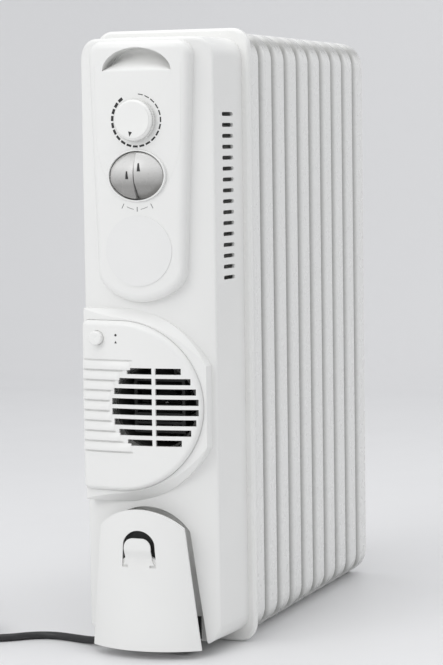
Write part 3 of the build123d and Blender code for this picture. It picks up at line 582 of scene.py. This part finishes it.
def makeDialScale():
    tree = bpy.data.node_groups.new("dialScaleNodes", "GeometryNodeTree")
    numbers = {
        "Count": dialScale["count"], "Radius": dialScale["radius"] * mm,
        "First": math.radians(dialScale["first"]), "Last": math.radians(dialScale["last"]),
        "Long": dialScale["long"] * mm, "Thin": dialScale["thin"] * mm,
        "Thick": dialScale["thick"] * mm, "Height": dialScale["height"] * mm,
    }
    sockets = {}
    tree.interface.new_socket("Geometry", in_out="INPUT", socket_type="NodeSocketGeometry")
    for key, value in numbers.items():
        kind = "NodeSocketInt" if key == "Count" else "NodeSocketFloat"
        sockets[key] = tree.interface.new_socket(key, in_out="INPUT", socket_type=kind)
        sockets[key].default_value = value
    sockets["Ink"] = tree.interface.new_socket("Ink", in_out="INPUT", socket_type="NodeSocketMaterial")
    tree.interface.new_socket("Geometry", in_out="OUTPUT", socket_type="NodeSocketGeometry")
    given = node(tree, "NodeGroupInput").outputs
    line = node(tree, "GeometryNodeMeshLine", mode="OFFSET")
    tree.links.new(given["Count"], line.inputs["Count"])
    line.inputs["Offset"].default_value = (0, 0, 0)
    index = node(tree, "GeometryNodeInputIndex").outputs[0]
    share = maths(tree, "DIVIDE", index, maths(tree, "SUBTRACT", given["Count"], 1))
    sweep = maths(tree, "MULTIPLY", share, maths(tree, "SUBTRACT", given["Last"], given["First"]))
    angle = maths(tree, "ADD", sweep, given["First"])
    spot = node(tree, "ShaderNodeCombineXYZ")
    tree.links.new(maths(tree, "MULTIPLY", maths(tree, "SINE", angle), given["Radius"]), spot.inputs["X"])
    rise = maths(tree, "MULTIPLY", maths(tree, "COSINE", angle), given["Radius"])
    tree.links.new(maths(tree, "ADD", rise, given["Height"]), spot.inputs["Z"])
    moved = node(tree, "GeometryNodeSetPosition")
    tree.links.new(line.outputs["Mesh"], moved.inputs["Geometry"])
    tree.links.new(spot.outputs[0], moved.inputs["Position"])
    dash = node(tree, "GeometryNodeMeshCube")
    dash.inputs["Size"].default_value = (1, 1, 1)
    dash.inputs["Vertices X"].default_value = 4
    turned = node(tree, "ShaderNodeCombineXYZ")
    tree.links.new(angle, turned.inputs["Y"])
    size = node(tree, "ShaderNodeCombineXYZ")
    grow = maths(tree, "MULTIPLY", share, maths(tree, "SUBTRACT", given["Thick"], given["Thin"]))
    tree.links.new(given["Long"], size.inputs["X"])
    size.inputs["Y"].default_value = 0.6 * mm
    tree.links.new(maths(tree, "ADD", grow, given["Thin"]), size.inputs["Z"])
    copies = node(tree, "GeometryNodeInstanceOnPoints")
    tree.links.new(moved.outputs[0], copies.inputs["Points"])
    tree.links.new(dash.outputs["Mesh"], copies.inputs["Instance"])
    tree.links.new(turned.outputs[0], copies.inputs["Rotation"])
    tree.links.new(size.outputs[0], copies.inputs["Scale"])
    real = node(tree, "GeometryNodeRealizeInstances")
    tree.links.new(copies.outputs[0], real.inputs[0])
    # every point then drops onto the bowed face
    apart = node(tree, "ShaderNodeSeparateXYZ")
    tree.links.new(node(tree, "GeometryNodeInputPosition").outputs[0], apart.inputs[0])
    nose, bow = faces3d["panel"]
    across = maths(tree, "MULTIPLY", apart.outputs["X"], apart.outputs["X"])
    square = maths(tree, "SUBTRACT", (bow * mm) ** 2, across)
    sag = maths(tree, "SUBTRACT", bow * mm, maths(tree, "SQRT", square))
    lift = node(tree, "ShaderNodeCombineXYZ")
    tree.links.new(
        maths(tree, "ADD", sag, plateFront + (0.3 - nose - dialScale["proud"]) * mm), lift.inputs["Y"])
    laid = node(tree, "GeometryNodeSetPosition")
    tree.links.new(real.outputs[0], laid.inputs["Geometry"])
    tree.links.new(lift.outputs[0], laid.inputs["Offset"])
    painted = node(tree, "GeometryNodeSetMaterial")
    tree.links.new(laid.outputs[0], painted.inputs["Geometry"])
    tree.links.new(given["Ink"], painted.inputs["Material"])
    tree.links.new(painted.outputs[0], node(tree, "NodeGroupOutput").inputs[0])
    base = bpy.data.meshes.new("dialScale")
    piece = bpy.data.objects.new("dialScale", base)
    bpy.context.scene.collection.objects.link(piece)
    recipe = piece.modifiers.new("dashes", "NODES")
    recipe.node_group = tree
    recipe[sockets["Ink"].identifier] = finishes["blackInk"]
    for key, value in numbers.items():
        recipe[sockets[key].identifier] = value
    settle(piece)
    standIn(piece, heater, "inner_black")


makeDialScale()

# ---- thermostat knob ----

knob = {
    "radius": 19.8, "front": -100.7, "back": -91.8, "height": 512.0, "ribs": 48, "ribDepth": 0.45, "round": 4.4,
    "dish": 0.3, "flat": 0.86, "pointerTip": 15.6, "pointerHalf": 1.9, "pointerLong": 4.6, "pointerAngle": 190,
}


def makeKnob():
    radius, front, back = knob["radius"], knob["front"], knob["back"]
    profile = []
    for share in (0.12, 0.3, 0.5, 0.7, 0.85, 1):
        profile.append((share * knob["flat"] * radius, front + knob["dish"] * (1 - share**2) ** 2, 0))
    rim = radius - knob["round"]
    for k in range(9):
        turn = math.pi / 2 * k / 8
        y = front + knob["round"] * (1 - math.cos(turn))
        profile.append((rim + knob["round"] * math.sin(turn), y, (k / 8) ** 2))
    depth = back - front
    for share in (0.35, 0.5, 0.65, 0.8, 0.92):
        profile.append((radius, front + depth * share, 1))
    profile += [(radius, back - 0.7, 1), (radius - 0.6, back, 0), (radius - 2.2, back, 0), (3.0, back, 0)]
    segments = knob["ribs"] * 8
    points, faces = [], []
    for r, y, ribbed in profile:
        for k in range(segments):
            wave = max(0.0, math.cos(2 * math.pi * k / 8)) ** 2
            reach = r - knob["ribDepth"] * ribbed * wave
            turn = 2 * math.pi * k / segments
            points.append((reach * math.sin(turn), y, knob["height"] + reach * math.cos(turn)))
    rings = len(profile)
    for i in range(rings - 1):
        for k in range(segments):
            n = (k + 1) % segments
            faces.append((i * segments + k, i * segments + n, (i + 1) * segments + n, (i + 1) * segments + k))
    points.append((0, front + knob["dish"], knob["height"]))
    points.append((0, back, knob["height"]))
    for k in range(segments):
        n = (k + 1) % segments
        faces.append((len(points) - 2, n, k))
        faces.append((len(points) - 1, (rings - 1) * segments + k, (rings - 1) * segments + n))
    piece = makeMesh("dialKnob", points, faces, finishes["knobPlastic"], 40)
    standIn(piece, "knob", "knob_white", "thermostat_knob")
    turn = math.radians(knob["pointerAngle"])
    tip, wide, base = knob["pointerTip"], knob["pointerHalf"], knob["pointerTip"] - knob["pointerLong"]
    along = (math.sin(turn), math.cos(turn))
    corners = [(along[0] * tip, along[1] * tip)]
    for side in (1, -1):
        x, z = along[0] * base, along[1] * base
        corners.append((x + side * wide * along[1], z - side * wide * along[0]))
    outline = [(x, knob["height"] + z) for x, z in corners]
    pointer = decal("knobPointer", [outline], lambda x, z: front + 0.03, finishes["blackInk"], 0.1, 0.4)
    fixNormals(pointer)
    standIn(pointer, "knob", "inner_black")


def fixNormals(piece):
    import bmesh
    work = bmesh.new()
    work.from_mesh(piece.data)
    bmesh.ops.remove_doubles(work, verts=work.verts, dist=1e-6)
    bmesh.ops.recalc_face_normals(work, faces=work.faces)
    work.to_mesh(piece.data)
    work.free()
    return piece


makeKnob()

# ---- the two domed rockers ----

rocker = {
    "height": 460.0, "halfWidth": 27.0, "halfHeight": 22.2, "gap": 0.3, "crown": -69.0, "round": 31.0,
    "sweep": 45.0,
    "pivot": -88.0, "tilt": 7.0, "edge": 0.9, "skirt": 9.0, "hollow": 1.9,
}


def rockerSurface(x, z):
    # the dome, hollowed a little under a curved ridge for the finger
    reach = rocker["round"] - rocker["sweep"] + math.sqrt(rocker["sweep"] ** 2 - x * x)
    y = rocker["crown"] - math.sqrt(max(reach * reach - z * z, 1.0))
    ridge = -2.6 - (abs(x) - 9) ** 2 / 60
    share = min(max((ridge - z) / 9, 0), 1)
    return y + rocker["hollow"] * share * share * (3 - 2 * share)


def tilted(side, x, y, z):
    turn = math.radians(rocker["tilt"]) * side
    back = y - rocker["pivot"]
    y = rocker["pivot"] + back * math.cos(turn) - z * math.sin(turn)
    return (x, y, rocker["height"] + back * math.sin(turn) + z * math.cos(turn))


def makeRocker(side, name, body, cadNode):
    across, tall = 36, 56
    edge = rocker["edge"]
    points, faces = [], []
    left, wide = rocker["gap"] + edge, rocker["halfWidth"] - rocker["gap"] - edge
    grid = {}
    for i in range(across + 1):
        x = left + (wide - left) * math.sin(math.pi / 2 * i / across)
        if i == across:
            x = wide - 0.02
        h = (rocker["halfHeight"] - edge) * math.sqrt(max(1 - (x / (wide + 0.4)) ** 2, 0.0004))
        for j in range(tall + 1):
            z = h * (2 * j / tall - 1)
            grid[i, j] = len(points)
            points.append((side * x, rockerSurface(x, z), z))
    for i in range(across):
        for j in range(tall):
            faces.append((grid[i, j], grid[i, j + 1], grid[i + 1, j + 1], grid[i + 1, j]))
    border = [grid[i, 0] for i in range(across)] + [grid[across, j] for j in range(tall)]
    border += [grid[i, tall] for i in range(across, 0, -1)] + [grid[0, j] for j in range(tall, 0, -1)]
    size = len(border)
    flat = np.array([(points[k][0], points[k][2]) for k in border])
    ahead, behind = np.roll(flat, -1, axis=0), np.roll(flat, 1, axis=0)
    tangent = ahead - behind
    tangent /= np.maximum(np.linalg.norm(tangent, axis=1), 1e-9)[:, None]
    outward = np.stack([tangent[:, 1], -tangent[:, 0]], axis=1)
    middle = flat.mean(axis=0)
    outward *= np.sign(((flat - middle) * outward).sum(axis=1))[:, None]
    rings = [border]
    for turn in (22.5, 45, 67.5, 90):
        s, c = math.sin(math.radians(turn)), math.cos(math.radians(turn))
        ring = []
        for k in range(size):
            x, z = flat[k] + outward[k] * edge * s
            ring.append(len(points))
            points.append((x, points[border[k]][1] + edge * (1 - c), z))
        rings.append(ring)
    ring = []
    for k in range(size):
        ring.append(len(points))
        x, _, z = points[rings[-1][k]]
        points.append((x, -86.0 if abs(z) < 18 else -84.0, z))
    rings.append(ring)
    for one, two in zip(rings, rings[1:]):
        for k in range(size):
            n = (k + 1) % size
            faces.append((one[k], one[n], two[n], two[k]))
    faces.append(tuple(rings[-1]))
    spots = [tilted(side, *p) for p in points]
    piece = makeMesh(name, spots, faces, finishes["rockerLacquer"], 50)
    fixNormals(piece)
    piece.data.set_sharp_from_angle(angle=math.radians(50))
    standIn(piece, body, "rocker_grey", cadNode)
    return piece


rockerMarks = {
    "left": (-7.0, 3.0), "right": (5.0, 13.0), "tall": 7.5, "thin": 0.7, "thick": 1.65, "lean": 0.5,
}


def makeRockerMark(side, key, body):
    x, top = rockerMarks[key]
    low = top - rockerMarks["tall"]
    thin, thick, lean = rockerMarks["thin"], rockerMarks["thick"], rockerMarks["lean"]
    points, faces = [], []
    rows = 6
    for back in (0, 1):
        for k in range(rows + 1):
            share = k / rows
            z = top + (low - top) * share
            half = thin + (thick - thin) * share
            for s in (-1, 1):
                px = x + lean * share + s * half
                y = rockerSurface(abs(px), z) - 0.12 + 0.6 * back
                points.append(tilted(side, px, y, z))
    count = 2 * (rows + 1)
    for k in range(rows):
        a = 2 * k
        faces.append((a, a + 1, a + 3, a + 2))
        faces.append((count + a, count + a + 2, count + a + 3, count + a + 1))
        faces.append((a, a + 2, count + a + 2, count + a))
        faces.append((a + 1, count + a + 1, count + a + 3, a + 3))
    faces.append((0, count, count + 1, 1))
    faces.append((count - 2, count - 1, 2 * count - 1, 2 * count - 2))
    mark = makeMesh(key + "RockerMark", points, faces, finishes["blackInk"], 30)
    fixNormals(mark)
    standIn(mark, body, "inner_black")


makeRocker(-1, "leftRockerCap", "left_rocker", "left_rocker")
makeRocker(1, "rightRockerCap", "right_rocker", "right_rocker")
makeRockerMark(-1, "left", "left_rocker")
makeRockerMark(1, "right", "right_rocker")
print("dial, knob and rockers made")

# ---- handle recess lining and the crease on the panel ----

recess = {
    "middle": 558.0, "halfWidth": 35.0, "rise": 22.0, "drop": 29.0, "deep": 20.0, "roll": (0.575, 0.93), "sheet": 1.5,
}


def makeRecessLining():
    across, up = 56, 48
    points, faces = [], []
    first, last = recess["roll"]
    for i in range(across + 1):
        x = recess["halfWidth"] * math.sin(math.pi * (i / across - 0.5))
        bow = math.sqrt(max(1 - (x / recess["halfWidth"]) ** 2, 0.0))
        low = recess["middle"] - recess["drop"] * bow - 0.2
        high = recess["middle"] + (recess["rise"] + 0.5) * bow + 0.2
        for j in range(up + 1):
            share = j / up
            roll = min(max((share - first) / (last - first), 0), 1)
            roll = roll * roll * (3 - 2 * roll)
            back = recess["deep"] * roll * min(1, bow * 2.5)
            points.append((x, surfaceY("panel", x) - 0.05 + back, low + (high - low) * share))
    for i in range(across):
        for j in range(up):
            a = i * (up + 1) + j
            faces.append((a, a + up + 1, a + up + 2, a + 1))
    sheet = makeMesh("recessLining", points, faces, finishes["panelPlastic"], 60)
    piece = thicken(sheet, recess["sheet"], 60)
    standIn(piece, heater, "panel_white")


makeRecessLining()

crease = {"half": 44.0, "low": 43.0, "top": 566.0, "bend": 500.0, "drop": 64.0, "width": 0.9, "lift": 0.16}


def makeCrease():
    path = [(-crease["half"], crease["top"])]
    for k in range(13):
        share = k / 12
        x = -crease["half"] + (crease["half"] - crease["low"]) * share
        path.append((x, crease["top"] - (crease["top"] - crease["bend"]) * share))
    for k in range(1, 48):
        turn = math.pi * k / 48
        path.append((-crease["low"] * math.cos(turn), crease["bend"] - crease["drop"] * math.sin(turn)))
    path += [(-x, z) for x, z in reversed(path[:14])]
    path = [path[0]] + [b for a, b in zip(path, path[1:]) if abs(a[0] - b[0]) + abs(a[1] - b[1]) > 1e-6]
    outlines = []
    half = crease["width"] / 2
    sides = []
    for k, (x, z) in enumerate(path):
        before, after = path[max(k - 1, 0)], path[min(k + 1, len(path) - 1)]
        run = math.hypot(after[0] - before[0], after[1] - before[1])
        nx, nz = -(after[1] - before[1]) / run, (after[0] - before[0]) / run
        sides.append(((x - nx * half, z - nz * half), (x + nx * half, z + nz * half)))
    for one, two in zip(sides, sides[1:]):
        outlines.append([one[0], two[0], two[1], one[1]])
    line = decal(
        "panelCrease", outlines, lambda x, z: surfaceY("panel", x), finishes["panelPlastic"], crease["lift"], 0.4)
    fixNormals(line)
    standIn(line, heater, "panel_white")


makeCrease()
print("handle recess and crease made")

# ---- louvre slats left of the grille ----

slats = {
    "middle": 241.0, "pitch": 9.75, "count": 9, "left": -60.8, "grilleX": 14.5, "grilleRadius": 45.5,
    "lift": 1.35,
    "edge": 0.9, "longest": -7.0,
}


def makeSlats():
    points, faces = [], []
    steps = 14
    for number in range(slats["count"]):
        middle = slats["middle"] + (number - (slats["count"] - 1) / 2) * slats["pitch"]
        off = abs(middle - slats["middle"])
        right = slats["longest"]
        if off < slats["grilleRadius"]:
            right = min(right, slats["grilleX"] - math.sqrt(slats["grilleRadius"] ** 2 - off * off))
        high, low = middle + slats["pitch"] / 2 - slats["edge"], middle - slats["pitch"] / 2 + slats["edge"]
        lift = slats["lift"]
        section = [(high, 0.3), (high - 0.4, -0.1), (low + 0.8, -lift)]
        section += [(low + 0.2, 0.15 - lift), (low, 0.6 - lift), (low, 0.3)]
        base, size = len(points), len(section)
        for k in range(steps + 1):
            share = k / steps
            x = slats["left"] + (right - slats["left"]) * share
            fade = min(1, (right - x) / 2.5 + 0.05, (x - slats["left"]) / 1.2 + 0.3)
            for z, rise in section:
                points.append((x, surfaceY("cover", x) + (rise * fade if rise < 0 else rise), z))
        for k in range(steps):
            for j in range(size):
                n = (j + 1) % size
                a = base + k * size
                faces.append((a + j, a + size + j, a + size + n, a + n))
        faces.append(tuple(base + j for j in range(size)))
        faces.append(tuple(base + steps * size + j for j in reversed(range(size))))
    piece = makeMesh("coverSlats", points, faces, finishes["housingPlastic"], 35)
    fixNormals(piece)
    standIn(piece, heater, "cover_white")


makeSlats()

# ---- clip in the cord plate ----

clip = {
    "half": 13.6, "low": 94.5, "high": 117.0, "corner": 9.0, "lift": 3.4,
    "shadeHalf": 19.0, "shadeLow": 91.0, "shadeHigh": 127.0, "shadeY": -95.5,
}


def makeClip():
    # a soft tongue that stands out of the cut-out, and a dark sheet behind it in place of the shaded store
    across, up = 20, 20
    points, faces = [], []
    for i in range(across + 1):
        x = clip["half"] * math.sin(math.pi * (i / across - 0.5))
        inset = max(abs(x) - (clip["half"] - clip["corner"]), 0.0)
        top = clip["high"] - clip["corner"] + math.sqrt(max(clip["corner"] ** 2 - inset**2, 0.0))
        for j in range(up + 1):
            share = j / up
            z = clip["low"] + (top - clip["low"]) * share
            rise = min(max((z - clip["low"] - 2) / 10, 0), 1)
            rise = rise * rise * (3 - 2 * rise)
            points.append((x, surfaceY("cordPlate", x) - 0.25 - clip["lift"] * rise, z))
    for i in range(across):
        for j in range(up):
            a = i * (up + 1) + j
            faces.append((a, a + up + 1, a + up + 2, a + 1))
    tongue = thicken(makeMesh("clipTongue", points, faces, finishes["housingPlastic"], 50), 1.6, 50)
    standIn(tongue, heater, "store_white")
    wide, low, high = clip["shadeHalf"], clip["shadeLow"], clip["shadeHigh"]
    outline = [(-wide, low), (wide, low), (wide, high), (-wide, high)]
    shade = decal("clipShade", [outline], lambda x, z: clip["shadeY"], finishes["darkPlastic"], 0.5, 0.5)
    fixNormals(shade)
    standIn(shade, heater, "inner_black")


makeClip()

print("slats and clip made")

# ---- small printed marks ----

panelMarks = {
    "middle": 429.0, "slant": 14.8, "dash": (3.6, 10.6), "width": 0.75,
    "buttonX": -23.8, "discHeight": 309.0, "discRadius": 1.2, "triangle": (301.2, 303.6), "triangleHalf": 1.3,
}


def makeMarks():
    onPanel = lambda x, z: surfaceY("panel", x)
    half = panelMarks["width"] / 2
    outlines = []
    centre = panelMarks["middle"]
    for side in (-1, 1):
        x = side * panelMarks["slant"]
        lean = -side * 1.1
        low, high = centre + 0.2, centre + 4.6
        outlines.append([
            (x - half - lean, low), (x + half - lean, low), (x + half + lean, high), (x - half + lean, high)])
        for k in range(6):
            start, end = panelMarks["dash"]
            a, b = [start + (end - start) * (k + s) / 6 for s in (0, 1)]
            low = [centre - 1.2 + v * v * 0.024 for v in (a, b)]
            quad = [(a, low[0]), (b, low[1]), (b, low[1] + 0.5), (a, low[0] + 0.5)]
            outlines.append([(side * px, pz) for px, pz in quad])
    low, high = centre - 2.8, centre + 1.6
    outlines.append([(-half, low), (half, low), (half, high), (-half, high)])
    marks = decal("switchMarks", outlines, onPanel, finishes["greyInk"], 0.1, 0.4)
    fixNormals(marks)
    standIn(marks, heater, "inner_black")
    onCover = lambda x, z: surfaceY("cover", x)
    x, height, radius = panelMarks["buttonX"], panelMarks["discHeight"], panelMarks["discRadius"]
    turns = [t * math.pi / 8 for t in range(16)]
    disc = [(x + radius * math.cos(t), height + radius * math.sin(t)) for t in turns]
    low, tip = panelMarks["triangle"]
    wide = panelMarks["triangleHalf"]
    triangle = [(x - wide, low), (x + wide, low), (x, tip)]
    buttonMarks = decal("buttonMarks", [disc, triangle], onCover, finishes["blackInk"], 0.1, 0.4)
    fixNormals(buttonMarks)
    standIn(buttonMarks, heater, "inner_black")


makeMarks()
print("printed marks made")
